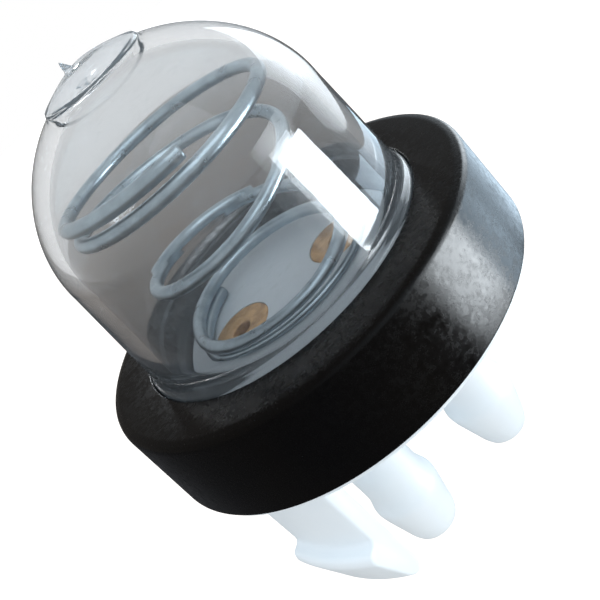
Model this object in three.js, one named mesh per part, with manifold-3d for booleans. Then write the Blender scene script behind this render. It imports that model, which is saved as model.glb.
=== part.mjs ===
// A snap-in primer bulb: a clear bulb clamped by a black ring onto a white base with two hose
// nipples. The +Z axis is the bulb's axis, crown up, and z = 0 is the face that sits on the panel.
import * as THREE from "three";
import Module from "manifold-3d";

const wasm = await Module();
wasm.setup();
const { Manifold, Mesh } = wasm;

// Sizes in millimetres.
const SEGMENTS = 60;
const FIT = 0.05; // clearance between pieces that are pushed together

const BULB_R = 10.97; // outside of the bulb's wall just above the ring
const BULB_R_TOP = BULB_R - 0.47; // outside of the wall where the cap begins
const BULB_WALL = 1.0;
const FOOT_T = 1.92; // the wall is thicker in the ring's hole
const CROWN_Z = 25.0;
const CAP_H = 9.45; // height of the cap above the straight wall
const CAP_POWER = 1.88; // 2 is an ellipse
const BOSS_R = 3.72; // the moulding disc on the crown
const BOSS_H = 1.26;
const GATE_H = 0.55; // the torn gate beside the disc's middle
const GATE_OFFSET = 0.85;

const RING_R_BOTTOM = 15.3;
const RING_R_TOP = RING_R_BOTTOM - 0.3;
const RING_TOP_Z = 7.17;
const RING_EDGE = 0.46; // bevel round the top edge
const LIP_T = 1.85; // the ring's inward lip, which holds the bulb's flange
const SNAP_H = 0.26; // bead in the ring, groove in the base

const FLANGE_T = 0.33; // thin rim of the base under the ring
const SEAT_Z = 3.6; // where the bulb's flange sits
const FLOOR_Z = 5.5; // the raised floor inside the bulb
const SHOULDER_R = RING_R_BOTTOM - 1.75; // the base's wall inside the ring
const BULB_FOOT_R = BULB_R + 0.4; // outside of the bulb's foot in the ring's hole
const BULB_BORE_R = BULB_FOOT_R - FOOT_T; // inside of the bulb's foot

const CATCH_R = 13.0; // the arms follow the panel's hole
const CATCH_T = 1.4;
const GROOVE_R = 8.7; // the coring groove under the base lies between this and the arms
const CATCH_W = 7.4;
const CATCH_ANGLE = 217; // direction of the first arm, in degrees from +X
const LEDGE_Z = -7.45; // the hooks' shelf under the panel
const HOOK = 1.12; // how far a hook stands out
const CATCH_END_Z = -12.3;

const PORT_X = 4.62; // both nipples lie on the X axis
const BORE_R = 0.95;
const NECK_R = 2.5;
const BARB_R = 2.87;
const INLET_END_Z = -17.0;
const OUTLET_END_Z = -18.9;
const BARB_UP = 4.55; // from a nipple's end to its barb

const INSERT_R = 2.4;
const INSERT_T = 1.1;
const INSERT_HOLE_R = 0.73;
const POCKET_Z = 1.6; // foot of the inlet's valve pocket
const VALVE_FLANGE_T = 0.54;
const VALVE_BODY_R = 1.4;
const VALVE_L = 2.4; // from the flange's back to the lips

const WIRE_R = 0.475;
const SPRING_GAP = 1.7; // from the bulb's bore to the widest turns' centre line
const CAP_Z = CROWN_Z - CAP_H; // where the wall ends and the cap begins
const CAP_INNER_Z = CROWN_Z - BULB_WALL - 0.15; // under side of the crown
const SPRING_R = BULB_BORE_R - SPRING_GAP;
const SPRING_FOOT_Z = FLOOR_Z + WIRE_R + 0.035;
const SPRING_TOP_Z = CAP_Z + 0.437 * (CAP_INNER_Z - CAP_Z);
// Its centre line: degrees round the axis, radius and shift along X as shares of SPRING_R, and
// height as a share of the way from the foot to the top.
const SPRING_PATH = [
  [123, 0.871, 0, -0.039],
  [300, 0.871, 0.001, -0.039],
  [450, 0.858, 0.065, -0.039],
  [540, 0.858, 0.079, -0.039],
  [630, 0.852, 0.089, -0.032],
  [720, 0.813, 0.189, -0.026],
  [810, 0.768, 0.356, -0.039],
  [900, 0.8, 0.443, -0.052],
  [990, 0.794, 0.516, -0.039],
  [1080, 0.89, 0.66, -0.013],
  [1170, 0.942, 0.774, 0],
  [1260, 0.981, 0.88, 0],
  [1350, 1, 0.914, 0],
  [1440, 1, 0.926, 0],
  [1530, 0.994, 0.948, 0],
  [1620, 0.987, 0.983, 0],
  [1715, 0.981, 1, 0],
];

const vec = (r, z) => new THREE.Vector2(r, z);

// Turns a profile of [radius, height] about Z; the points run anticlockwise in the r-z plane.
function turned(profile, segments = SEGMENTS) {
  const points = profile.map(([r, z]) => vec(r, z));
  const geometry = new THREE.LatheGeometry(points, segments);
  geometry.rotateX(Math.PI / 2);
  return geometry;
}

// A closed profile ends on its first point, so that the turned body has a hole.
const closed = (profile) => [...profile, profile[0]];

function solid(geometry) {
  const position = geometry.attributes.position;
  const index = geometry.index;
  const count = index ? index.count : position.count;
  const lookup = new Map();
  const vertices = [];
  const triangles = [];
  const ids = [];
  for (let i = 0; i < count; i += 1) {
    const v = index ? index.getX(i) : i;
    const xyz = [position.getX(v), position.getY(v), position.getZ(v)];
    const key = xyz.map((c) => Math.round(c * 1e5)).join(",");
    if (!lookup.has(key)) {
      lookup.set(key, vertices.length / 3);
      vertices.push(...xyz);
    }
    ids.push(lookup.get(key));
  }
  for (let i = 0; i < ids.length; i += 3) {
    const [a, b, c] = ids.slice(i, i + 3);
    if (a !== b && b !== c && c !== a) triangles.push(a, b, c);
  }
  const mesh = new Mesh({
    numProp: 3,
    vertProperties: new Float32Array(vertices),
    triVerts: new Uint32Array(triangles),
  });
  const body = new Manifold(mesh);
  if (body.volume() > 0) return body;
  for (let i = 0; i < triangles.length; i += 3) {
    [triangles[i], triangles[i + 1]] = [triangles[i + 1], triangles[i]];
  }
  return new Manifold(
    new Mesh({
      numProp: 3,
      vertProperties: new Float32Array(vertices),
      triVerts: new Uint32Array(triangles),
    }),
  );
}

function geometryOf(body) {
  const mesh = body.getMesh();
  const geometry = new THREE.BufferGeometry();
  const positions = new Float32Array(mesh.numVert * 3);
  for (let i = 0; i < mesh.numVert; i += 1) {
    for (let k = 0; k < 3; k += 1) {
      positions[i * 3 + k] = mesh.vertProperties[i * mesh.numProp + k];
    }
  }
  geometry.setAttribute("position", new THREE.BufferAttribute(positions, 3));
  geometry.setIndex(new THREE.BufferAttribute(new Uint32Array(mesh.triVerts), 1));
  geometry.computeVertexNormals();
  return geometry;
}

const turnedSolid = (profile, segments) => solid(turned(profile, segments));

// Points of the bulb's cap from the wall (u = 0) to the crown, as a superellipse.
function cap(radius, baseZ, height, steps, endR = 0) {
  const points = [];
  for (let i = 0; i <= steps; i += 1) {
    const u = (Math.PI / 2) * (i / steps);
    const r = radius * Math.cos(u) ** (2 / CAP_POWER);
    const z = baseZ + height * Math.sin(u) ** (2 / CAP_POWER);
    if (i < steps && r > endR) points.push([r, z]);
  }
  return points;
}

function bulbBody() {
  const flangeR = SHOULDER_R - 0.15;
  const flangeTop = RING_TOP_Z - LIP_T - FIT;
  const bossRise = BOSS_H / 1.26;
  const outer = [
    [BULB_BORE_R, SEAT_Z + FIT],
    [flangeR, SEAT_Z + FIT],
    [flangeR, flangeTop],
    [BULB_FOOT_R, flangeTop],
    [BULB_FOOT_R, RING_TOP_Z + 0.05],
    [BULB_R + 0.14, RING_TOP_Z + 0.42],
    [BULB_R, RING_TOP_Z + 0.85],
    [(BULB_R + BULB_R_TOP) / 2 + 0.06, (RING_TOP_Z + CAP_Z) / 2],
    ...cap(BULB_R_TOP, CAP_Z, CAP_H, 14, BOSS_R + 0.12),
    [BOSS_R, CROWN_Z - 0.74],
    [BOSS_R - 0.1, CROWN_Z - 0.1],
    [BOSS_R - 0.32, CROWN_Z + 0.35 * bossRise],
    [BOSS_R - 0.82, CROWN_Z + 0.7 * bossRise],
    [BOSS_R - 1.42, CROWN_Z + 0.9 * bossRise],
    [0.8, CROWN_Z + 1.07 * bossRise],
    [0, CROWN_Z + BOSS_H],
  ];
  const inner = [
    [BULB_BORE_R, RING_TOP_Z - 0.5],
    [BULB_R - BULB_WALL - 0.2, RING_TOP_Z + 0.35],
    [BULB_R - BULB_WALL - 0.03, RING_TOP_Z + 1.3],
    ...cap(BULB_R_TOP - BULB_WALL, CAP_Z, CAP_INNER_Z - CAP_Z, 14, 0.5),
    [0, CAP_INNER_Z],
  ];
  const profile = [[0, CAP_INNER_Z], ...inner.slice(0, -1).reverse(), ...outer];
  const shell = turnedSolid(profile);
  const gateFoot = CROWN_Z + BOSS_H - 0.5;
  const gate = turnedSolid([
    [0, gateFoot],
    [0.34, gateFoot],
    [0.2, CROWN_Z + BOSS_H + 0.1],
    [0.13, CROWN_Z + BOSS_H + GATE_H - 0.18],
    [0, CROWN_Z + BOSS_H + GATE_H - 0.12],
  ], 12);
  return shell.add(gate.translate([-GATE_OFFSET, 0, 0]));
}

function ringBody() {
  const bottom = FLANGE_T + 0.03;
  const skirtR = SHOULDER_R + FIT + 0.02;
  const lipZ = RING_TOP_Z - LIP_T;
  const holeR = BULB_FOOT_R + FIT;
  const snapZ = FLANGE_T + 0.85;
  return turnedSolid(closed([
    [skirtR, bottom],
    [RING_R_BOTTOM - 0.15, bottom],
    [RING_R_BOTTOM, bottom + 0.15],
    [RING_R_TOP, RING_TOP_Z - RING_EDGE],
    [RING_R_TOP - 0.14, RING_TOP_Z - 0.14],
    [RING_R_TOP - RING_EDGE, RING_TOP_Z],
    [holeR + 0.12, RING_TOP_Z],
    [holeR, RING_TOP_Z - 0.12],
    [holeR, lipZ],
    [skirtR, lipZ],
    [skirtR, snapZ + 1.1],
    [skirtR - SNAP_H, snapZ + 0.8],
    [skirtR - SNAP_H, snapZ + 0.4],
    [skirtR, snapZ],
  ]));
}

// One snap arm: a slice of a turned profile with flat sides, at the given angle.
function catchBody(angle) {
  const inside = CATCH_R - CATCH_T;
  const out = CATCH_R + HOOK;
  const arm = turnedSolid(closed([
    [inside, 0.2],
    [inside, CATCH_END_Z + 0.75],
    [inside + 0.2, CATCH_END_Z + 0.2],
    [inside + 0.6, CATCH_END_Z],
    [inside + 1.0, CATCH_END_Z + 0.25],
    [CATCH_R - 0.2, CATCH_END_Z + 0.7],
    [out, LEDGE_Z - 0.7],
    [out - 0.03, LEDGE_Z - 0.28],
    [out - 0.3, LEDGE_Z - 0.05],
    [CATCH_R + 0.3, LEDGE_Z],
    [CATCH_R, LEDGE_Z + 0.25],
    [CATCH_R, 0.2],
  ]));
  const slab = solid(new THREE.BoxGeometry(2 * RING_R_BOTTOM, CATCH_W, 40));
  return arm.intersect(slab.translate([RING_R_BOTTOM, 0, 0]).rotate([0, 0, angle]));
}

function nippleBody(endZ, tipR) {
  const barbZ = endZ + BARB_UP;
  return turnedSolid([
    [0, endZ],
    [tipR - 0.55, endZ],
    [tipR - 0.16, endZ + 0.3],
    [tipR, endZ + 0.8],
    [BARB_R - 0.1, barbZ - 0.75],
    [BARB_R, barbZ - 0.2],
    [BARB_R - 0.04, barbZ + 0.25],
    [NECK_R + 0.06, barbZ + 1.0],
    [NECK_R, barbZ + 1.6],
    [NECK_R, -2.5],
    [NECK_R + 0.12, -1.5],
    [NECK_R + 0.55, -0.5],
    [NECK_R + 0.95, 0],
    [NECK_R + 0.95, 0.5],
    [0, 0.5],
  ], 36);
}

function baseBody() {
  const snapZ = FLANGE_T + 0.85;
  const plateR = RING_R_BOTTOM - 0.22;
  let body = turnedSolid([
    [0, 0],
    [plateR, 0],
    [plateR, FLANGE_T],
    [SHOULDER_R, FLANGE_T],
    [SHOULDER_R, snapZ - 0.05],
    [SHOULDER_R - SNAP_H - 0.03, snapZ + 0.35],
    [SHOULDER_R - SNAP_H - 0.03, snapZ + 0.85],
    [SHOULDER_R, snapZ + 1.2],
    [SHOULDER_R, SEAT_Z],
    [BULB_BORE_R - 0.07, SEAT_Z],
    [BULB_BORE_R - 0.07, FLOOR_Z - 0.25],
    [BULB_BORE_R - 0.32, FLOOR_Z],
    [0, FLOOR_Z],
  ]);
  const groove = turnedSolid(closed([
    [GROOVE_R, -1],
    [CATCH_R - CATCH_T - 0.45, -1],
    [CATCH_R - CATCH_T - 0.6, SEAT_Z - 0.3],
    [GROOVE_R + 0.15, SEAT_Z - 0.3],
  ]));
  body = body.subtract(groove);
  for (const angle of [CATCH_ANGLE, CATCH_ANGLE - 180]) body = body.add(catchBody(angle));
  for (const [side, endZ, tipR] of [[1, INLET_END_Z, 2.0], [-1, OUTLET_END_Z, 2.2]]) {
    const shift = [side * PORT_X, 0, 0];
    body = body.add(nippleBody(endZ, tipR).translate(shift));
    const bore = turnedSolid([
      [0, endZ - 1],
      [BORE_R + 0.2, endZ - 1],
      [BORE_R + 0.2, endZ],
      [BORE_R, endZ + 0.2],
      [BORE_R, POCKET_Z],
      ...pocket(side),
      [0, FLOOR_Z + 1],
    ], 36);
    body = body.subtract(bore.translate(shift));
  }
  return body;
}

// The inlet's valve lies at the foot of its pocket, the outlet's right under its insert.
function pocket(side) {
  const seatR = INSERT_R + 0.03;
  const step = FLOOR_Z - INSERT_T - VALVE_FLANGE_T - 0.06;
  if (side > 0) return [[seatR, POCKET_Z], [seatR, FLOOR_Z + 1]];
  return [
    [VALVE_BODY_R + 0.3, POCKET_Z],
    [VALVE_BODY_R + 0.3, step],
    [seatR, step],
    [seatR, FLOOR_Z + 1],
  ];
}

// A brass insert; the inlet's has a skirt that reaches down and holds its valve.
function insertBody(skirtZ) {
  const top = FLOOR_Z;
  const bottom = top - INSERT_T;
  const edge = 0.12;
  const face = [
    [INSERT_HOLE_R + edge, top],
    [INSERT_HOLE_R, top - edge],
    [INSERT_HOLE_R, bottom],
  ];
  const side = [[INSERT_R, top - edge], [INSERT_R - edge, top]];
  const skirt = skirtZ === undefined
    ? [[INSERT_R, bottom]]
    : [[INSERT_R - 0.7, bottom], [INSERT_R - 0.7, skirtZ], [INSERT_R, skirtZ]];
  return turnedSolid(closed([...face, ...skirt, ...side]), 32);
}

// A rubber duckbill: a flange, then a body that narrows to two flat lips with a slit between.
function duckbillGeometry(flangeZ, direction) {
  const steps = 24;
  const flangeR = INSERT_R - 0.08;
  const at = (a, b, dz) => ({ a, b, z: flangeZ + direction * dz });
  const loops = [
    at(0.8, 0.8, 0),
    at(flangeR, flangeR, 0),
    at(flangeR, flangeR, VALVE_FLANGE_T),
    at(VALVE_BODY_R, VALVE_BODY_R, VALVE_FLANGE_T),
    at(VALVE_BODY_R, VALVE_BODY_R, VALVE_FLANGE_T + 0.4),
    at(VALVE_BODY_R, 0.34, VALVE_L),
    at(1.05, 0.06, VALVE_L),
    at(0.8, 0.8, VALVE_FLANGE_T + 0.3),
  ];
  const positions = [];
  const indices = [];
  loops.forEach(({ a, b, z }) => {
    for (let i = 0; i < steps; i += 1) {
      const t = (2 * Math.PI * i) / steps;
      positions.push(a * Math.cos(t), b * Math.sin(t), z);
    }
  });
  loops.forEach((_, row) => {
    const next = (row + 1) % loops.length;
    for (let i = 0; i < steps; i += 1) {
      const j = (i + 1) % steps;
      const quad = [row * steps + i, row * steps + j, next * steps + j, next * steps + i];
      indices.push(quad[0], quad[1], quad[2], quad[0], quad[2], quad[3]);
    }
  });
  const geometry = new THREE.BufferGeometry();
  geometry.setAttribute("position", new THREE.Float32BufferAttribute(positions, 3));
  geometry.setIndex(indices);
  return geometry;
}

function springGeometry() {
  const points = [];
  for (let k = 0; k + 1 < SPRING_PATH.length; k += 1) {
    const before = SPRING_PATH[Math.max(k - 1, 0)];
    const [from, to] = [SPRING_PATH[k], SPRING_PATH[k + 1]];
    const after = SPRING_PATH[Math.min(k + 2, SPRING_PATH.length - 1)];
    const steps = Math.ceil((to[0] - from[0]) / 15);
    for (let i = k === 0 ? 0 : 1; i <= steps; i += 1) {
      const t = i / steps;
      const [angle, r, z, x] = from.map((value, c) => eased(before, from, to, after, c, t));
      const turn = THREE.MathUtils.degToRad(angle);
      const flat = new THREE.Vector2(x + r * Math.cos(turn), r * Math.sin(turn));
      flat.multiplyScalar(SPRING_R);
      const height = THREE.MathUtils.lerp(SPRING_FOOT_Z, SPRING_TOP_Z, z);
      points.push(new THREE.Vector3(flat.x, flat.y, height));
    }
  }
  const wire = new THREE.Shape();
  for (let i = 0; i <= 8; i += 1) {
    const t = (2 * Math.PI * i) / 8;
    const place = [WIRE_R * Math.cos(t), WIRE_R * Math.sin(t)];
    if (i === 0) wire.moveTo(...place);
    else wire.lineTo(...place);
  }
  return new THREE.ExtrudeGeometry(wire, {
    steps: 150,
    curveSegments: 1,
    bevelEnabled: false,
    extrudePath: new THREE.CatmullRomCurve3(points),
  });
}

// Hermite step between two rows of the spring's table; angles run straight.
function eased(before, from, to, after, column, t) {
  if (column === 0) return from[0] + (to[0] - from[0]) * t;
  const span = to[0] - from[0];
  const slope = (a, b) => (a === b ? 0 : (b[column] - a[column]) / (b[0] - a[0]));
  const limited = (a, mid, b) => {
    const [s0, s1] = [slope(a, mid), slope(mid, b)];
    return s0 * s1 <= 0 ? 0 : (2 * s0 * s1) / (s0 + s1);
  };
  const [m0, m1] = [limited(before, from, to) * span, limited(from, to, after) * span];
  const [t2, t3] = [t * t, t * t * t];
  return (2 * t3 - 3 * t2 + 1) * from[column] + (t3 - 2 * t2 + t) * m0
    + (3 * t2 - 2 * t3) * to[column] + (t3 - t2) * m1;
}

const group = new THREE.Group();

function add(name, geometry, settings) {
  const mesh = new THREE.Mesh(geometry, new THREE.MeshStandardMaterial(settings));
  mesh.name = name;
  group.add(mesh);
  return mesh;
}

const brass = { color: 0xb98550, metalness: 0.9, roughness: 0.5 };
const rubber = { color: 0x2a2a2a, roughness: 0.8 };

add("bulb", geometryOf(bulbBody()), {
  color: 0xd8d6d2, transparent: true, opacity: 0.35, roughness: 0.1,
});
add("retaining_ring", geometryOf(ringBody()), { color: 0x1c1a18, roughness: 0.45 });
add("base", geometryOf(baseBody()), { color: 0xeef2f5, roughness: 0.4 });
add("spring", geometryOf(solid(springGeometry())), {
  color: 0x5b6166, metalness: 0.9, roughness: 0.35,
});

const inletFlangeZ = POCKET_Z + 0.03;
const outletFlangeZ = FLOOR_Z - INSERT_T - 0.03;
const inletInsert = insertBody(inletFlangeZ + VALVE_FLANGE_T + 0.03);
add("inlet_insert", geometryOf(inletInsert.translate([PORT_X, 0, 0])), brass);
add("outlet_insert", geometryOf(insertBody().translate([-PORT_X, 0, 0])), brass);
const inletValve = solid(duckbillGeometry(inletFlangeZ, 1)).translate([PORT_X, 0, 0]);
const outletValve = solid(duckbillGeometry(outletFlangeZ, -1)).translate([-PORT_X, 0, 0]);
add("inlet_valve", geometryOf(inletValve), rubber);
add("outlet_valve", geometryOf(outletValve), rubber);

export default group;
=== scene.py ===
import math

import bmesh
import bpy
import numpy as np
from mathutils import Matrix, Vector


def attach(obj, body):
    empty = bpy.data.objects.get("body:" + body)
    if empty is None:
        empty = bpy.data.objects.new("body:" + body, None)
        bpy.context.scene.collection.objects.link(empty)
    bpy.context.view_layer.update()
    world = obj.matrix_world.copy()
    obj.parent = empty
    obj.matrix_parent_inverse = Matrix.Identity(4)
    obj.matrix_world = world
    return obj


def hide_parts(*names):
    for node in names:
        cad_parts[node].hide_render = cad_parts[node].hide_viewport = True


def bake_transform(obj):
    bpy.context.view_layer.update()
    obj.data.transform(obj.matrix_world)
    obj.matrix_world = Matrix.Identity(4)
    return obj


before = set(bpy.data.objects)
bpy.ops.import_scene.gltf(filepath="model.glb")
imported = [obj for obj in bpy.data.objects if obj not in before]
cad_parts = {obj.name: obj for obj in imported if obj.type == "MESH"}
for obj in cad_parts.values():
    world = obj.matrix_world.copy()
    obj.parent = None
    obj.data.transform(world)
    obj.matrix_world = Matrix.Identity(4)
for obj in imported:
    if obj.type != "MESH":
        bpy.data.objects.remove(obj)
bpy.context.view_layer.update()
print("frame loaded")

mm = 0.001
floorZ = 5.5  # the base's raised floor inside the bulb
ringTop = 7.17  # the retaining ring's upper face


cameraView = {
    "focalPixels": 902.05,
    "framePixels": 600,
    "elevation": math.radians(26.334),
    "roll": math.radians(-43.883),
    "shiftX": -1.8247,
    "shiftY": -2.3261,
    "distance": 61.470,
}


def addCamera(view):
    # A view along +Y tipped down by the elevation, then turned in its own plane by the roll.
    ce, se = math.cos(view["elevation"]), math.sin(view["elevation"])
    cr, sr = math.cos(view["roll"]), math.sin(view["roll"])
    forward = np.array([0, ce, -se])
    right = np.array([1.0, 0, 0])
    up = np.cross(right, forward)
    level = np.array([right, -up, forward])
    turn = np.array([[cr, -sr, 0], [sr, cr, 0], [0, 0, 1]])
    rows = turn @ level
    offset = np.array([view["shiftX"], view["shiftY"], view["distance"]])
    place = -rows.T @ offset + np.array([0, 0, ringTop])
    data = bpy.data.cameras.new("photoCamera")
    sensorWidth = 36
    data.sensor_width = sensorWidth
    data.lens = view["focalPixels"] * sensorWidth / view["framePixels"]
    data.clip_start = 0.002
    data.clip_end = 10
    camera = bpy.data.objects.new("photoCamera", data)
    matrix = Matrix.Identity(4)
    for i in range(3):
        matrix[i][0], matrix[i][1], matrix[i][2] = rows[0][i], -rows[1][i], -rows[2][i]
        matrix[i][3] = place[i] * mm
    camera.matrix_world = matrix
    bpy.context.scene.collection.objects.link(camera)
    bpy.context.scene.camera = camera


addCamera(cameraView)
bpy.context.scene.view_settings.view_transform = "Standard"


def addMesh(name, parts, sharpAngle=40, closeEnds=False):
    # Each part is a grid of points in millimetres with its wrap flags; all become one mesh.
    vertices, faces, start = [], [], 0
    for grid, wrapU, wrapV in parts:
        rows, columns = grid.shape[:2]
        u = np.arange(rows if wrapU else rows - 1)
        v = np.arange(columns if wrapV else columns - 1)
        a, b = np.meshgrid(u, v, indexing="ij")
        a2, b2 = (a + 1) % rows, (b + 1) % columns
        corners = [a * columns + b, a * columns + b2, a2 * columns + b2, a2 * columns + b]
        faces.append(np.stack(corners, -1).reshape(-1, 4) + start)
        vertices.append(grid.reshape(-1, 3))
        start += rows * columns
    points = np.concatenate(vertices) * mm
    quads = np.concatenate(faces)
    mesh = bpy.data.meshes.new(name)
    mesh.vertices.add(len(points))
    mesh.vertices.foreach_set("co", points.astype(np.float32).ravel())
    mesh.loops.add(quads.size)
    mesh.loops.foreach_set("vertex_index", quads.astype(np.int32).ravel())
    mesh.polygons.add(len(quads))
    mesh.polygons.foreach_set("loop_start", np.arange(0, quads.size, 4, dtype=np.int32))
    mesh.update(calc_edges=True)
    piece = bpy.data.objects.new(name, mesh)
    bpy.context.scene.collection.objects.link(piece)
    cleanMesh(mesh, sharpAngle, closeEnds)
    return piece


def cleanMesh(mesh, sharpAngle, closeEnds=False):
    # Closes seams and poles, turns every face outwards and marks the edges sharper than the angle.
    work = bmesh.new()
    work.from_mesh(mesh)
    if closeEnds:
        openEdges = [edge for edge in work.edges if edge.is_boundary]
        bmesh.ops.holes_fill(work, edges=openEdges, sides=0)
    bmesh.ops.remove_doubles(work, verts=work.verts, dist=2e-7)
    bmesh.ops.dissolve_degenerate(work, edges=work.edges, dist=1e-8)
    bmesh.ops.recalc_face_normals(work, faces=work.faces)
    work.to_mesh(mesh)
    work.free()
    mesh.polygons.foreach_set("use_smooth", np.ones(len(mesh.polygons), dtype=bool))
    mesh.set_sharp_from_angle(angle=math.radians(sharpAngle))
    mesh.update()


def softProfile(points, loop=True, steps=6):
    # Rounds each corner of an r-z outline: a quadratic curve that starts and ends at the
    # corner's own radius (third column), never past 45% of either side.
    rows = np.array(points, float)
    corner, radius = rows[:, :2], rows[:, 2:3]
    back, ahead = np.roll(corner, 1, 0) - corner, np.roll(corner, -1, 0) - corner
    lengthBack = np.linalg.norm(back, axis=1, keepdims=True)
    lengthAhead = np.linalg.norm(ahead, axis=1, keepdims=True)
    reach = np.minimum(radius, 0.45 * np.minimum(lengthBack, lengthAhead))
    start = corner + back / lengthBack * reach
    end = corner + ahead / lengthAhead * reach
    if not loop:
        start[0] = end[0] = corner[0]
        start[-1] = end[-1] = corner[-1]
    t = np.linspace(0, 1, steps)[None, :, None]
    curve = (1 - t) ** 2 * start[:, None]
    curve = curve + 2 * t * (1 - t) * corner[:, None] + t**2 * end[:, None]
    return curve.reshape(-1, 2)


def turned(outline, segments=160, centreX=0.0):
    # Radius and height of the outline carried round the Z axis.
    angle = np.linspace(0, 2 * math.pi, segments, endpoint=False)[:, None]
    r, z = outline[None, :, 0], outline[None, :, 1]
    return np.stack([centreX + r * np.cos(angle), r * np.sin(angle), z + 0 * angle], -1)


def tube(path, radius, sides=20, bevel=0.2):
    # A ring of the wire's radius square to the path at each point; both ends close with a bevel.
    tangent = np.gradient(path, axis=0)
    tangent /= np.linalg.norm(tangent, axis=1, keepdims=True)
    outward = path * np.array([1, 1, 0])
    outward -= (outward * tangent).sum(1, keepdims=True) * tangent
    outward /= np.linalg.norm(outward, axis=1, keepdims=True)
    side = np.cross(tangent, outward)
    inset = radius * bevel
    centres = np.concatenate([
        path[:1], path[:1], path[:1] + inset * tangent[:1], path[1:-1],
        path[-1:] - inset * tangent[-1:], path[-1:], path[-1:],
    ])
    repeat = [0, 0, 0] + list(range(1, len(path) - 1)) + [-1, -1, -1]
    middle = np.full(len(path) - 2, radius)
    radii = np.concatenate([[0, radius - inset, radius], middle, [radius, radius - inset, 0]])
    angle = np.linspace(0, 2 * math.pi, sides, endpoint=False)[None, :, None]
    ring = np.cos(angle) * outward[repeat][:, None] + np.sin(angle) * side[repeat][:, None]
    return centres[:, None] + radii[:, None, None] * ring


def newMaterial(name, **sockets):
    material = bpy.data.materials.new(name)
    material.use_nodes = True
    shader = material.node_tree.nodes["Principled BSDF"]
    for key, value in sockets.items():
        shader.inputs[key].default_value = value
    return material, material.node_tree, shader


def addNode(tree, kind, **values):
    node = tree.nodes.new(kind)
    for key, value in values.items():
        if key in node.inputs:
            node.inputs[key].default_value = value
        else:
            setattr(node, key, value)
    return node


def noiseFrom(tree, scale, detail=4.0, roughness=0.55, stretch=(1, 1, 1)):
    place = tree.nodes.new("ShaderNodeTexCoord")
    mapping = tree.nodes.new("ShaderNodeMapping")
    mapping.inputs["Scale"].default_value = stretch
    tree.links.new(place.outputs["Object"], mapping.inputs["Vector"])
    noise = addNode(tree, "ShaderNodeTexNoise", Scale=scale, Detail=detail, Roughness=roughness)
    tree.links.new(mapping.outputs["Vector"], noise.inputs["Vector"])
    return noise.outputs["Fac"]


def rampOf(tree, factor, stops):
    ramp = tree.nodes.new("ShaderNodeValToRGB")
    elements = ramp.color_ramp.elements
    while len(elements) < len(stops):
        elements.new(0.5)
    for element, (position, colour) in zip(elements, stops):
        element.position = position
        element.color = (*colour, 1)
    tree.links.new(factor, ramp.inputs["Fac"])
    return ramp.outputs["Color"]


def rangeOf(tree, factor, low, high, toLow, toHigh):
    node = addNode(tree, "ShaderNodeMapRange")
    ends = {"From Min": low, "From Max": high, "To Min": toLow, "To Max": toHigh}
    for key, value in ends.items():
        node.inputs[key].default_value = value
    tree.links.new(factor, node.inputs["Value"])
    return node.outputs["Result"]


def addBump(tree, shader, height, strength, distance):
    bump = addNode(tree, "ShaderNodeBump", Strength=strength, Distance=distance)
    tree.links.new(height, bump.inputs["Height"])
    tree.links.new(bump.outputs["Normal"], shader.inputs["Normal"])


clearRubber = {
    # Pairs of heights, in metres, are where the tint or the haze starts and stops changing;
    # the tint's deepening towards the foot is painted shade.
    "tintShadeHeights": (0.006, 0.0235),
    "footHeights": (0.0068, 0.0085),
    "crownHeights": (0.0241, 0.0246),
    "refraction": 1.43,
    "scratches": 0.12,
    "bump": 0.05,
    # The foot's darker tint is painted shade.
    "shadedFootTint": (0.62, 0.63, 0.64),
    "crownTint": (0.86, 0.875, 0.885),
    "haze": (0.66, 0.76, 0.84, 1),
    "hazeFoot": 0.06,
    "hazeWall": 0.03,
    "hazeCrown": 0.15,
    "roughness": 0.03,
}


def heightOf(tree, low, high):
    # 0 at the low height and 1 at the high one, in metres along Z.
    place = tree.nodes.new("ShaderNodeTexCoord")
    parts = tree.nodes.new("ShaderNodeSeparateXYZ")
    tree.links.new(place.outputs["Object"], parts.inputs["Vector"])
    return rangeOf(tree, parts.outputs["Z"], low, high, 0, 1)


def addFactors(tree, first, second):
    both = addNode(tree, "ShaderNodeMath", operation="ADD")
    tree.links.new(first, both.inputs[0])
    tree.links.new(second, both.inputs[1])
    return both.outputs["Value"]


def makeClearRubber(look):
    sockets = {"IOR": look["refraction"], "Transmission Weight": 1.0}
    material, tree, shader = newMaterial("clearRubber", **sockets)
    height = heightOf(tree, *look["tintShadeHeights"])
    # The rubber's own tint deepens towards the foot as painted shade.
    tintAndShade = rampOf(tree, height, [(0.0, look["shadedFootTint"]), (1.0, look["crownTint"])])
    tree.links.new(tintAndShade, shader.inputs["Base Color"])
    smudge = noiseFrom(tree, 260, 4, 0.6)
    smooth, rough = look["roughness"] * 0.5, look["roughness"] * 2.2
    tree.links.new(rangeOf(tree, smudge, 0.35, 0.75, smooth, rough), shader.inputs["Roughness"])
    addBump(tree, shader, noiseFrom(tree, 130, 1, stretch=(1, 1, 0.5)), look["bump"], 0.0004)
    haze = addNode(tree, "ShaderNodeBsdfDiffuse", Color=look["haze"])
    atFoot = heightOf(tree, *look["footHeights"])
    foot = rangeOf(tree, atFoot, 0, 1, look["hazeFoot"] - look["hazeWall"], 0)
    atCrown = heightOf(tree, *look["crownHeights"])
    crown = rangeOf(tree, atCrown, 0, 1, look["hazeWall"], look["hazeCrown"])
    fine = noiseFrom(tree, 900, 9, 0.75, (1, 1, 3))
    scratch = rangeOf(tree, fine, 0.57, 0.7, 0, look["scratches"])
    share = addFactors(tree, addFactors(tree, foot, crown), scratch)
    mix = tree.nodes.new("ShaderNodeMixShader")
    tree.links.new(share, mix.inputs["Fac"])
    tree.links.new(shader.outputs["BSDF"], mix.inputs[1])
    tree.links.new(haze.outputs["BSDF"], mix.inputs[2])
    tree.links.new(mix.outputs["Shader"], tree.nodes["Material Output"].inputs["Surface"])
    return material


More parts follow.
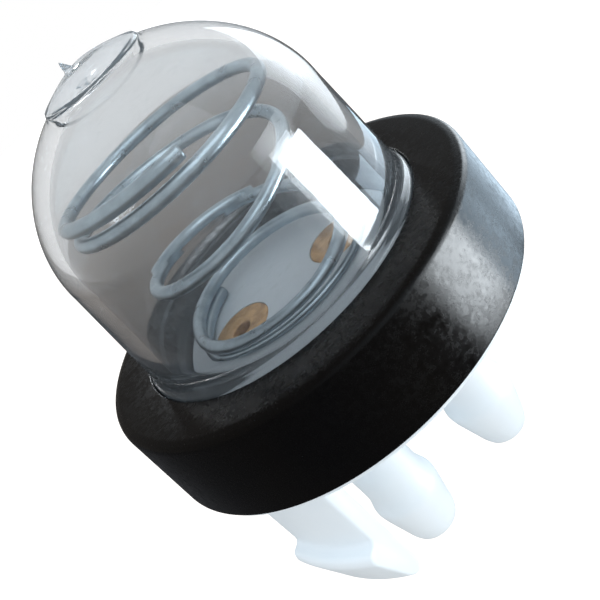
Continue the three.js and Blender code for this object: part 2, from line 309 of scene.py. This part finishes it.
blackPlastic = {
    "brown": (0.0034, 0.0028, 0.0022),
    "black": (0.0013, 0.0012, 0.0015),
    "specular": 0.18,
    "roughness": (0.2, 0.3),
    "speck": 0.1,
}


def makeBlackPlastic(look):
    material, tree, shader = newMaterial("blackPlastic", **{"Specular IOR Level": look["specular"]})
    cloud = noiseFrom(tree, 60, 3)
    colour = rampOf(tree, cloud, [(0.3, look["black"]), (0.7, look["brown"])])
    tree.links.new(colour, shader.inputs["Base Color"])
    fine, coarse = noiseFrom(tree, 2300, 6, 0.7), noiseFrom(tree, 300, 4, 0.6)
    speck = rangeOf(tree, fine, 0.35, 0.65, -look["speck"], look["speck"])
    patch = rangeOf(tree, coarse, 0.35, 0.65, *look["roughness"])
    tree.links.new(addFactors(tree, speck, patch), shader.inputs["Roughness"])
    addBump(tree, shader, noiseFrom(tree, 2600, 6, 0.65), 0.2, 0.00004)
    return material


whitePlastic = {
    "colour": (0.84, 0.91, 0.955),
    "shade": (0.79, 0.87, 0.93),
    "specular": 0.3,
    "roughness": (0.42, 0.58),
}


def makeWhitePlastic(look):
    material, tree, shader = newMaterial("whitePlastic", **{"Specular IOR Level": look["specular"]})
    cloud = noiseFrom(tree, 120, 4)
    colour = rampOf(tree, cloud, [(0.3, look["shade"]), (0.7, look["colour"])])
    tree.links.new(colour, shader.inputs["Base Color"])
    rough = rangeOf(tree, noiseFrom(tree, 300, 5), 0.3, 0.7, *look["roughness"])
    tree.links.new(rough, shader.inputs["Roughness"])
    addBump(tree, shader, noiseFrom(tree, 900, 5), 0.1, 0.0001)
    return material


springWire = {"bright": (0.50, 0.60, 0.66), "dark": (0.26, 0.32, 0.36), "roughness": (0.24, 0.4)}


def makeSpringWire(look):
    material, tree, shader = newMaterial("springWire", **{"Metallic": 1.0})
    streak = noiseFrom(tree, 500, 5, 0.6)
    colour = rampOf(tree, streak, [(0.3, look["dark"]), (0.7, look["bright"])])
    tree.links.new(colour, shader.inputs["Base Color"])
    rough = rangeOf(tree, streak, 0.3, 0.7, *look["roughness"])
    tree.links.new(rough, shader.inputs["Roughness"])
    addBump(tree, shader, noiseFrom(tree, 2600, 4), 0.08, 0.00003)
    return material


brassInsert = {
    "bright": (0.88, 0.56, 0.27),
    "dark": (0.46, 0.26, 0.11),
    "metallic": 0.5,
    "roughness": (0.42, 0.62),
}


def makeBrass(look):
    material, tree, shader = newMaterial("dullBrass", **{"Metallic": look["metallic"]})
    cloud = noiseFrom(tree, 900, 6, 0.65)
    colour = rampOf(tree, cloud, [(0.34, look["dark"]), (0.62, look["bright"])])
    tree.links.new(colour, shader.inputs["Base Color"])
    rough = rangeOf(tree, cloud, 0.3, 0.7, *look["roughness"])
    tree.links.new(rough, shader.inputs["Roughness"])
    addBump(tree, shader, noiseFrom(tree, 2400, 6), 0.3, 0.0001)
    return material


valveRubber = {
    "dark": (0.006, 0.006, 0.007),
    "light": (0.016, 0.016, 0.017),
    "specular": 0.35,
    "roughness": (0.55, 0.75),
}


def makeValveRubber(look):
    material, tree, shader = newMaterial("valveRubber", **{"Specular IOR Level": look["specular"]})
    cloud = noiseFrom(tree, 700, 4)
    colour = rampOf(tree, cloud, [(0.3, look["dark"]), (0.7, look["light"])])
    tree.links.new(colour, shader.inputs["Base Color"])
    rough = rangeOf(tree, noiseFrom(tree, 1100, 4), 0.3, 0.7, *look["roughness"])
    tree.links.new(rough, shader.inputs["Roughness"])
    addBump(tree, shader, noiseFrom(tree, 2500, 4), 0.2, 0.00005)
    return material


clearLook = makeClearRubber(clearRubber)
blackLook = makeBlackPlastic(blackPlastic)
whiteLook = makeWhitePlastic(whitePlastic)
wireLook = makeSpringWire(springWire)
brassLook = makeBrass(brassInsert)
valveLook = makeValveRubber(valveRubber)
print("materials made")


def finishPiece(piece, look, node, body=None):
    piece.data.materials.clear()
    piece.data.materials.append(look)
    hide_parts(node)
    if body:
        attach(piece, body)


bulbShape = {
    "footR": 11.37,
    "boreR": 9.45,
    "flangeR": 13.4,
    "flangeLow": 3.65,
    "flangeTop": 5.27,
    "wallR": 10.97,
    "wallTopR": 10.5,
    "wall": 1.0,
    "crown": 25.0,
    "capHeight": 9.45,
    "capPower": 1.88,
    "discR": 3.72,
    "domeZ": 24.5,
    "domeHeight": 0.98,
    "gate": (-0.75, 0.0),
}


def capCurve(radius, baseZ, height, power, steps):
    # A superellipse: radius times cos(u)^(2/power), height times sin(u)^(2/power).
    u = np.linspace(0, 1, steps) * math.pi / 2
    cosine, sine = np.clip(np.cos(u), 0, 1), np.clip(np.sin(u), 0, 1)
    return np.stack([radius * cosine ** (2 / power), baseZ + height * sine ** (2 / power)], 1)


def bulbOutline(s):
    # The section of the shell: up the outside from the flange, over the disc, down the inside.
    capZ = s["crown"] - s["capHeight"]
    middleZ = (ringTop + capZ) / 2
    innerTop = s["crown"] - s["wall"] - 0.15
    low = softProfile([
        (s["boreR"] + 0.6, s["flangeLow"], 0),
        (s["flangeR"], s["flangeLow"], 0.1),
        (s["flangeR"], s["flangeTop"], 0.12),
        (s["footR"], s["flangeTop"], 0.1),
        (s["footR"], 7.26, 0.25),
        (s["wallR"] + 0.1, 7.62, 0.35),
        (s["wallR"], 8.3, 0.5),
        ((s["wallR"] + s["wallTopR"]) / 2 + 0.06, middleZ, 2.0),
        (s["wallTopR"], capZ, 0),
    ], loop=False)
    outerCap = capCurve(s["wallTopR"], capZ, s["capHeight"], s["capPower"], 60)
    outerCap = outerCap[outerCap[:, 0] > s["discR"] + 0.35]
    share = np.linspace(0.93, 0, 30)
    dome = np.stack([s["discR"] * share, s["domeZ"] + s["domeHeight"] * (1 - share**1.6)], 1)
    dome[-1, 0] = 0.001
    rim = softProfile([
        (s["discR"] + 0.33, s["domeZ"] - 0.38, 0),
        (s["discR"] + 0.03, s["domeZ"] - 0.23, 0.12),
        (s["discR"] - 0.05, s["domeZ"], 0.12),
        tuple(dome[0]) + (0,),
    ], loop=False)
    disc = np.concatenate([rim, dome[1:]])
    innerCap = capCurve(s["wallTopR"] - s["wall"], capZ, innerTop - capZ, s["capPower"], 60)[::-1]
    inside = softProfile([
        (s["wallTopR"] - s["wall"], capZ, 0),
        (s["wallR"] - s["wall"] - 0.03, 8.5, 0.6),
        (s["wallR"] - s["wall"] - 0.2, 7.55, 0.4),
        (s["boreR"], 6.7, 0.3),
        (s["boreR"], s["flangeLow"], 0.1),
        (s["boreR"] + 0.6, s["flangeLow"], 0),
    ], loop=False)
    return np.concatenate([low, outerCap[1:], disc, innerCap, inside[1:]])


def gateSpike(shape):
    # The torn stub of the moulding's gate: a bent cone with an uneven radius.
    t = np.linspace(0, 1, 9)[None, :]
    angle = np.linspace(0, 2 * math.pi, 24, endpoint=False)[:, None]
    radius = (0.36 * (1 - t) ** 1.6 + 0.1 * (1 - t**6)) * (1 + 0.16 * np.sin(3 * angle + 5 * t))
    radius = np.where(t == 1, 0.0, radius)
    x0, y0 = shape["gate"]
    x = x0 - 0.12 * t**2 + radius * np.cos(angle)
    y = y0 - 0.06 * t + radius * np.sin(angle)
    z = 25.2 + 0.92 * t + 0 * angle
    return np.stack([x, y, z], -1)


bulb = addMesh("clearBulb", [(turned(bulbOutline(bulbShape), 200), True, False)], 60)
finishPiece(bulb, clearLook, "bulb")
spike = addMesh("gateStub", [(gateSpike(bulbShape), True, False)], 70)
spike.data.materials.append(clearLook)
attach(spike, "press")
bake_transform(bulb)
print("bulb made")


ringShape = {
    "bottom": 0.36,
    "rBottom": 15.3,
    "rTop": 15.0,
    "hole": 11.42,
    "skirt": 13.62,
    "lip": 1.85,
    "groove": 0.26,
}


def ringOutline(s):
    # The section: a leaning outer wall, a flat top with a lip over the flange, the snap groove.
    lip = ringTop - s["lip"]
    return softProfile([
        (s["skirt"], s["bottom"], 0.1),
        (s["rBottom"], s["bottom"], 0.16),
        (s["rTop"] + 0.03, ringTop - 0.5, 0.3),
        (s["rTop"] - 0.1, ringTop - 0.16, 0.2),
        (s["rTop"] - 0.62, ringTop, 0.14),
        (s["hole"], ringTop, 0.12),
        (s["hole"], lip, 0.1),
        (s["skirt"], lip, 0.1),
        (s["skirt"], 2.28, 0.1),
        (s["skirt"] - s["groove"], 1.98, 0.1),
        (s["skirt"] - s["groove"], 1.58, 0.1),
        (s["skirt"], 1.18, 0.1),
    ])


ring = addMesh("retainingRing", [(turned(ringOutline(ringShape), 240), True, True)], 50)
finishPiece(ring, blackLook, "retaining_ring", "housing")
print("ring made")


baseShape = {
    "plateR": 15.08,
    "plate": 0.33,
    "shoulder": 13.55,
    "seat": 3.6,
    "floorR": 9.38,
    "portX": 4.62,
    "bore": 0.95,
    "insertR": 2.43,
    "nippleEnds": ((1, -17.0, 2.0), (-1, -18.9, 2.2)),  # side, end height, tip radius
    "neck": 2.5,
    "barbR": 2.87,
    "barb": 4.55,
}
catchShape = {
    "r": 13.0,
    "thick": 1.4,
    "width": 7.4,
    "angle": 217,
    "hook": 1.12,
    "ledge": -7.45,
    "end": -12.3,
}


def baseBodyOutline(s):
    # From the axis below, over the coring groove, the rim and the snap bead, to the raised floor.
    return softProfile([
        (0.001, 0, 0),
        (8.7, 0, 0.15),
        (8.85, 3.3, 0.3),
        (11.0, 3.3, 0.3),
        (11.15, 0, 0.15),
        (s["plateR"], 0, 0.12),
        (s["plateR"], s["plate"], 0.1),
        (s["shoulder"], s["plate"], 0.05),
        (s["shoulder"], 1.13, 0.05),
        (s["shoulder"] - 0.29, 1.53, 0.05),
        (s["shoulder"] - 0.29, 2.03, 0.05),
        (s["shoulder"], 2.38, 0.05),
        (s["shoulder"], s["seat"], 0.1),
        (s["floorR"], s["seat"], 0.1),
        (s["floorR"], floorZ - 0.25, 0.1),
        (s["floorR"] - 0.25, floorZ, 0.1),
        (0.001, floorZ, 0),
    ], loop=False, steps=4)


def pocketOutline(side, s):
    # The passage through a nipple and, above it, the pocket for the valve and the insert.
    if side > 0:
        rows = [(s["insertR"], 1.6), (s["insertR"], 6.2)]
    else:
        rows = [(1.7, 1.6), (1.7, 3.8), (s["insertR"], 3.8), (s["insertR"], 6.2)]
    rows = [(0.001, -1), (s["bore"], -1), (s["bore"], 1.6), *rows, (0.001, 6.2)]
    return np.array(rows, float)


def nippleOutline(end, tipR, s):
    # A hollow stem that flares into the base, with a rounded barb near its end.
    barb = end + s["barb"]
    neck, out = s["neck"], s["barbR"]
    return softProfile([
        (s["bore"], 0.6, 0),
        (neck + 1.1, 0.6, 0),
        (neck + 1.0, -0.02, 0.05),
        (neck + 0.5, -0.55, 0.6),
        (neck + 0.08, -1.7, 0.9),
        (neck, -3.0, 0.9),
        (neck, barb + 1.5, 0.9),
        (out + 0.06, barb + 0.15, 0.9),
        (out - 0.05, barb - 0.75, 0.9),
        (tipR + 0.03, end + 0.75, 0.7),
        (tipR - 0.3, end, 0.55),
        (s["bore"] + 0.15, end, 0.15),
        (s["bore"], end + 0.5, 0.2),
    ], steps=8)


def catchGrid(s, angle):
    # The arm's section, carried sideways between two flat ends; near an end it draws in.
    inside, out = s["r"] - s["thick"], s["r"] + s["hook"]
    section = softProfile([
        (inside, 0.3, 0),
        (s["r"], 0.3, 0),
        (s["r"], -0.3, 0.3),
        (s["r"], s["ledge"] + 0.1, 0.45),
        (out - 0.15, s["ledge"] - 0.02, 0.5),
        (out + 0.02, s["ledge"] - 0.7, 0.6),
        (s["r"] - 0.12, s["end"] + 0.55, 1.0),
        (inside + 0.62, s["end"] - 0.05, 0.6),
        (inside, s["end"] + 0.6, 0.6),
    ], steps=8)
    half = s["width"] / 2
    edge, draw = np.array([0, 0.05, 0.14]), np.array([0.14, 0.04, 0])
    middle = np.linspace(-half + 0.4, half - 0.4, 24)
    across = np.concatenate([-half + edge, middle, (half - edge)[::-1]])
    inset = np.concatenate([draw, np.zeros(24), draw[::-1]])
    ahead = np.roll(section, -1, 0) - np.roll(section, 1, 0)
    length = np.maximum(np.linalg.norm(ahead, axis=1, keepdims=True), 1e-6)
    normal = np.stack([ahead[:, 1], -ahead[:, 0]], 1) / length
    after = np.roll(section, -1, 0)
    area = np.sum(section[:, 0] * after[:, 1] - after[:, 0] * section[:, 1])
    rows = section[None] - math.copysign(1, area) * inset[:, None, None] * normal[None]
    r, z = rows[..., 0], rows[..., 1]
    turn = math.radians(angle) + np.arcsin(across[:, None] / np.maximum(r, 1))
    return np.stack([r * np.cos(turn), r * np.sin(turn), z], -1)


def cutPockets(piece, s):
    # Each pocket is taken out of the closed body, so that floor and pocket share their edge.
    for side, _, _ in s["nippleEnds"]:
        grid = turned(pocketOutline(side, s), 96, side * s["portX"])
        cutter = addMesh("pocketCutter", [(grid, True, False)])
        cut = piece.modifiers.new("pocket", "BOOLEAN")
        cut.operation = "DIFFERENCE"
        cut.solver = "EXACT"
        cut.object = cutter
        bpy.context.view_layer.update()
        ready = piece.evaluated_get(bpy.context.evaluated_depsgraph_get())
        mesh = bpy.data.meshes.new_from_object(ready)
        piece.modifiers.clear()
        piece.data = mesh
        bpy.data.objects.remove(cutter)


def joinPieces(name, pieces, sharpAngle):
    # One mesh of several closed shells, which overlap where the moulding is one piece.
    work = bmesh.new()
    for piece in pieces:
        work.from_mesh(piece.data)
        bpy.data.objects.remove(piece)
    mesh = bpy.data.meshes.new(name)
    work.to_mesh(mesh)
    work.free()
    joined = bpy.data.objects.new(name, mesh)
    bpy.context.scene.collection.objects.link(joined)
    cleanMesh(mesh, sharpAngle)
    return joined


body = addMesh("baseBody", [(turned(baseBodyOutline(baseShape), 192), True, False)])
cutPockets(body, baseShape)
nipples = [
    (turned(nippleOutline(end, tip, baseShape), 96, side * baseShape["portX"]), True, True)
    for side, end, tip in baseShape["nippleEnds"]
]
arms = [(catchGrid(catchShape, catchShape["angle"] - turn), False, True) for turn in (0, 180)]
limbs = [addMesh("nipples", nipples, 50), addMesh("arms", arms, 50, closeEnds=True)]
base = joinPieces("whiteBase", [body, *limbs], 42)
finishPiece(base, whiteLook, "base", "housing")
print("base made")


springShape = {
    "wire": 0.475,
    "radius": 7.75,
    "foot": 6.01,
    "top": 19.18,
    # Angle in degrees, radius share, height share and sideways share.
    "table": [
        (123, 0.871, 0, -0.039),
        (300, 0.871, 0.001, -0.039),
        (450, 0.858, 0.065, -0.039),
        (540, 0.858, 0.079, -0.039),
        (630, 0.852, 0.089, -0.032),
        (720, 0.813, 0.189, -0.026),
        (810, 0.768, 0.356, -0.039),
        (900, 0.8, 0.443, -0.052),
        (990, 0.794, 0.516, -0.039),
        (1080, 0.89, 0.66, -0.013),
        (1170, 0.942, 0.774, 0),
        (1260, 0.981, 0.88, 0),
        (1350, 1, 0.914, 0),
        (1440, 1, 0.926, 0),
        (1530, 0.994, 0.948, 0),
        (1620, 0.987, 0.983, 0),
        (1715, 0.981, 1, 0),
    ],
}


def easedTable(table, count):
    # Each column against the first, by cubic steps whose slopes are harmonic means.
    rows = np.array(table, float)
    key, columns = rows[:, 0], rows[:, 1:]
    gap = np.diff(key)[:, None]
    slope = np.diff(columns, axis=0) / gap
    product = slope[:-1] * slope[1:]
    both = np.where(product > 0, slope[:-1] + slope[1:], 1)
    mean = np.where(product > 0, 2 * product / both, 0)
    slopes = np.concatenate([np.zeros((1, 3)), mean, np.zeros((1, 3))])
    at = np.linspace(key[0], key[-1], count)
    k = np.clip(np.searchsorted(key, at, side="right") - 1, 0, len(key) - 2)
    t = ((at - key[k]) / gap[k, 0])[:, None]
    a, b = columns[k], columns[k + 1]
    ma, mb = slopes[k] * gap[k], slopes[k + 1] * gap[k]
    values = (2 * t**3 - 3 * t**2 + 1) * a + (t**3 - 2 * t**2 + t) * ma
    values += (3 * t**2 - 2 * t**3) * b + (t**3 - t**2) * mb
    return np.radians(at), values


def springPath(s):
    # Radius and shift are shares of the widest turn's radius, height the share from foot to top.
    angle, values = easedTable(s["table"], 900)
    r, z, x = values.T
    flat = s["radius"] * np.stack([x + r * np.cos(angle), r * np.sin(angle)], 1)
    return np.column_stack([flat, s["foot"] + (s["top"] - s["foot"]) * z])


wire = tube(springPath(springShape), springShape["wire"])
spring = addMesh("returnSpring", [(wire, False, True)], 60)
finishPiece(spring, wireLook, "spring")
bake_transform(spring)
print("spring made")


insertShape = {"r": 2.4, "thick": 1.1, "hole": 0.73, "skirt": 2.2}


def insertOutline(s, skirt):
    # A flat washer flush with the raised floor; the inlet's has a skirt down to its valve.
    top, low, inner = floorZ, floorZ - s["thick"], s["r"] - 0.7
    rows = [(s["hole"], top, 0.16), (s["hole"], low, 0.05)]
    if skirt:
        rows += [(inner, low, 0.05), (inner, s["skirt"], 0.05), (s["r"], s["skirt"], 0.05)]
    else:
        rows += [(s["r"], low, 0.05)]
    rows += [(s["r"], top, 0.14)]
    return softProfile(rows)


inserts = ((1, "inlet_insert", "inletInsert"), (-1, "outlet_insert", "outletInsert"))
for side, node, name in inserts:
    grid = turned(insertOutline(insertShape, side > 0), 96, side * baseShape["portX"])
    insert = addMesh(name, [(grid, True, True)], 40)
    finishPiece(insert, brassLook, node, "housing")

for node in ("inlet_valve", "outlet_valve"):
    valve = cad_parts[node]
    valve.data.materials.clear()
    valve.data.materials.append(valveLook)
print("inserts and valves made")


stageLook = {
    "depth": -0.13,
    "size": 2.4,
    "colour": (0.69, 0.635, 0.585, 1),
    "farColour": (0.95, 0.94, 0.93),
    "fading": (0.5, 0.95),
    # Near black for reflections only: painted shade in what the part's surfaces reflect.
    "paintedDarkReflection": (0.06, 0.06, 0.065, 1),
    # Distance from the part in metres, and the floor's colour there as seen through the bulb.
    "throughBulb": [
        (0.35, (0.19, 0.158, 0.135)),
        (0.55, (0.35, 0.30, 0.262)),
        (0.80, (0.47, 0.435, 0.405)),
        (1.0, (0.52, 0.49, 0.465)),
    ],
    "seenExtra": 0.6,
}


def seenRays(tree):
    # 1 for the rays that show the background: seen directly or through the bulb.
    path = tree.nodes.new("ShaderNodeLightPath")
    larger = addNode(tree, "ShaderNodeMath", operation="MAXIMUM")
    tree.links.new(path.outputs["Is Camera Ray"], larger.inputs[0])
    tree.links.new(path.outputs["Is Transmission Ray"], larger.inputs[1])
    return larger.outputs["Value"]


def mirroredRays(tree):
    # 1 for reflections: glossy rays that didn't come through the bulb's wall.
    path = tree.nodes.new("ShaderNodeLightPath")
    less = addNode(tree, "ShaderNodeMath", operation="SUBTRACT", use_clamp=True)
    tree.links.new(path.outputs["Is Glossy Ray"], less.inputs[0])
    tree.links.new(path.outputs["Is Transmission Ray"], less.inputs[1])
    return less.outputs["Value"]


def mixColours(tree, factor, first, second):
    mix = addNode(tree, "ShaderNodeMix", data_type="RGBA")
    tree.links.new(factor, mix.inputs["Factor"])
    tree.links.new(first, mix.inputs[6])
    tree.links.new(second, mix.inputs[7])
    return mix.outputs[2]


def addFloor(look):
    # Camera rays meet an extra even glow, which makes the floor white and keeps the shadow;
    # reflections meet a near-black painted shade, and rays through the bulb's wall the ramp above.
    axis = np.linspace(-look["size"] / 2, look["size"] / 2, 9) / mm
    x, y = np.meshgrid(axis, axis, indexing="ij")
    floor = addMesh("paleFloor", [(np.stack([x, y, 0 * x + look["depth"] / mm], -1), False, False)])
    sockets = {"Base Color": look["colour"], "Roughness": 0.95}
    material, tree, shader = newMaterial("paleFloor", **sockets)
    shader.inputs["Emission Color"].default_value = (1, 1, 1, 1)
    path = tree.nodes.new("ShaderNodeLightPath")
    extra = rangeOf(tree, path.outputs["Is Camera Ray"], 0, 1, 0, look["seenExtra"])
    tree.links.new(extra, shader.inputs["Emission Strength"])
    place = tree.nodes.new("ShaderNodeTexCoord")
    away = addNode(tree, "ShaderNodeVectorMath", operation="LENGTH")
    tree.links.new(place.outputs["Object"], away.inputs[0])
    distance = rangeOf(tree, away.outputs["Value"], *look["fading"], 0, 1)
    pale = rampOf(tree, distance, [(0.0, look["colour"][:3]), (1.0, look["farColour"])])
    # The floor's near-black colour for reflections is painted shade.
    paintedDarkReflection = addNode(tree, "ShaderNodeRGB")
    paintedDarkReflection.outputs["Color"].default_value = look["paintedDarkReflection"]
    direct = mixColours(tree, mirroredRays(tree), pale, paintedDarkReflection.outputs["Color"])
    through = rampOf(tree, away.outputs["Value"], look["throughBulb"])
    final = mixColours(tree, path.outputs["Is Transmission Ray"], direct, through)
    tree.links.new(final, shader.inputs["Base Color"])
    floor.data.materials.append(material)


worldLook = {
    "light": (0.94, 0.97, 1.0, 1),
    "lightStrength": 1.0,
    "dark": (0.16, 0.15, 0.14),
    "bright": (0.74, 0.88, 1.0),
    "brightTowards": (0.85, -0.2, -0.5),
}


def addWorld(look):
    # Rays that light the object meet an even pale room; reflections meet one that is bright on
    # the window's side and dim behind; the rest see white.
    world = bpy.data.worlds.new("softRoom")
    world.use_nodes = True
    tree = world.node_tree
    tree.nodes.clear()
    light, strength = look["light"], look["lightStrength"]
    soft = addNode(tree, "ShaderNodeBackground", Color=light, Strength=strength)
    white = addNode(tree, "ShaderNodeBackground", Color=(1, 1, 1, 1), Strength=1.0)
    room = addNode(tree, "ShaderNodeBackground", Strength=1.0)
    place = tree.nodes.new("ShaderNodeTexCoord")
    dot = addNode(tree, "ShaderNodeVectorMath", operation="DOT_PRODUCT")
    tree.links.new(place.outputs["Generated"], dot.inputs[0])
    dot.inputs[1].default_value = look["brightTowards"]
    turn = rangeOf(tree, dot.outputs["Value"], -0.3, 0.8, 0, 1)
    shade = rampOf(tree, turn, [(0.0, look["dark"]), (1.0, look["bright"])])
    tree.links.new(shade, room.inputs["Color"])
    seen = tree.nodes.new("ShaderNodeMixShader")
    tree.links.new(seenRays(tree), seen.inputs["Fac"])
    tree.links.new(soft.outputs["Background"], seen.inputs[1])
    tree.links.new(white.outputs["Background"], seen.inputs[2])
    mix = tree.nodes.new("ShaderNodeMixShader")
    tree.links.new(mirroredRays(tree), mix.inputs["Fac"])
    tree.links.new(seen.outputs["Shader"], mix.inputs[1])
    tree.links.new(room.outputs["Background"], mix.inputs[2])
    output = tree.nodes.new("ShaderNodeOutputWorld")
    tree.links.new(mix.outputs["Shader"], output.inputs["Surface"])
    bpy.context.scene.world = world


paleBlue, skyBlue, softBlue = (0.88, 0.95, 1.0), (0.66, 0.84, 1.0), (0.84, 0.93, 1.0)
lamps = {
    # Azimuth and elevation in degrees, distance and size in metres, brightness as a mirror
    # would show it, colour, and the spread of the light in degrees.
    "window": (-26, -22, 0.15, (0.075, 0.064), 27, paleBlue, 180),
    "windowTop": (-33, -6, 0.15, (0.06, 0.022), 8, paleBlue, 180),
    "windowHaze": (-32, -3, 0.155, (0.12, 0.08), 11, paleBlue, 46),
    "midWindow": (3, -26, 0.16, (0.06, 0.06), 5.5, skyBlue, 180),
    "wideWindow": (36, -25, 0.16, (0.12, 0.05), 2.6, skyBlue, 180),
    "sky": (20, 1, 0.3, (0.42, 0.24), 1.5, softBlue, 88),
    "brightSky": (34, 2, 0.29, (0.28, 0.18), 6.5, softBlue, 76),
    "spot": (92, 29, 0.4, (0.016, 0.016), 160, paleBlue, 180),
    "fill": (-35, -35, 0.19, (0.17, 0.17), 2.0, paleBlue, 180),
    "key": (-60, 55, 0.35, (0.25, 0.25), 2.2, paleBlue, 180),
}
lighting = ("fill", "key")  # the others only show in reflections
seenThroughWall = ("window", "spot")


def addLamp(name, azimuth, elevation, distance, size, brightness, colour, spread):
    # A spread under 180 degrees fades the lamp towards its edges; the energy allows for that.
    around, above = math.radians(azimuth), math.radians(elevation)
    flat = math.cos(above)
    towards = Vector((flat * math.cos(around), flat * math.sin(around), math.sin(above)))
    half = math.radians(spread) / 2
    data = bpy.data.lights.new(name, "AREA")
    data.shape = "RECTANGLE"
    data.size, data.size_y = size
    data.spread = 2 * half
    data.energy = brightness * math.pi * size[0] * size[1] * (1 - half / math.tan(half))
    data.color = colour
    lamp = bpy.data.objects.new(name, data)
    lamp.location = towards * distance + Vector((0, 0, 0.005))
    lamp.rotation_euler = towards.to_track_quat("Z", "Y").to_euler()
    lamp.visible_camera = False
    lamp.visible_transmission = name in lighting or name in seenThroughWall
    lamp.visible_diffuse = name in lighting
    lamp.visible_glossy = name not in lighting
    bpy.context.scene.collection.objects.link(lamp)


addFloor(stageLook)
addWorld(worldLook)
for name, values in lamps.items():
    addLamp(name, *values)
print("stage made")
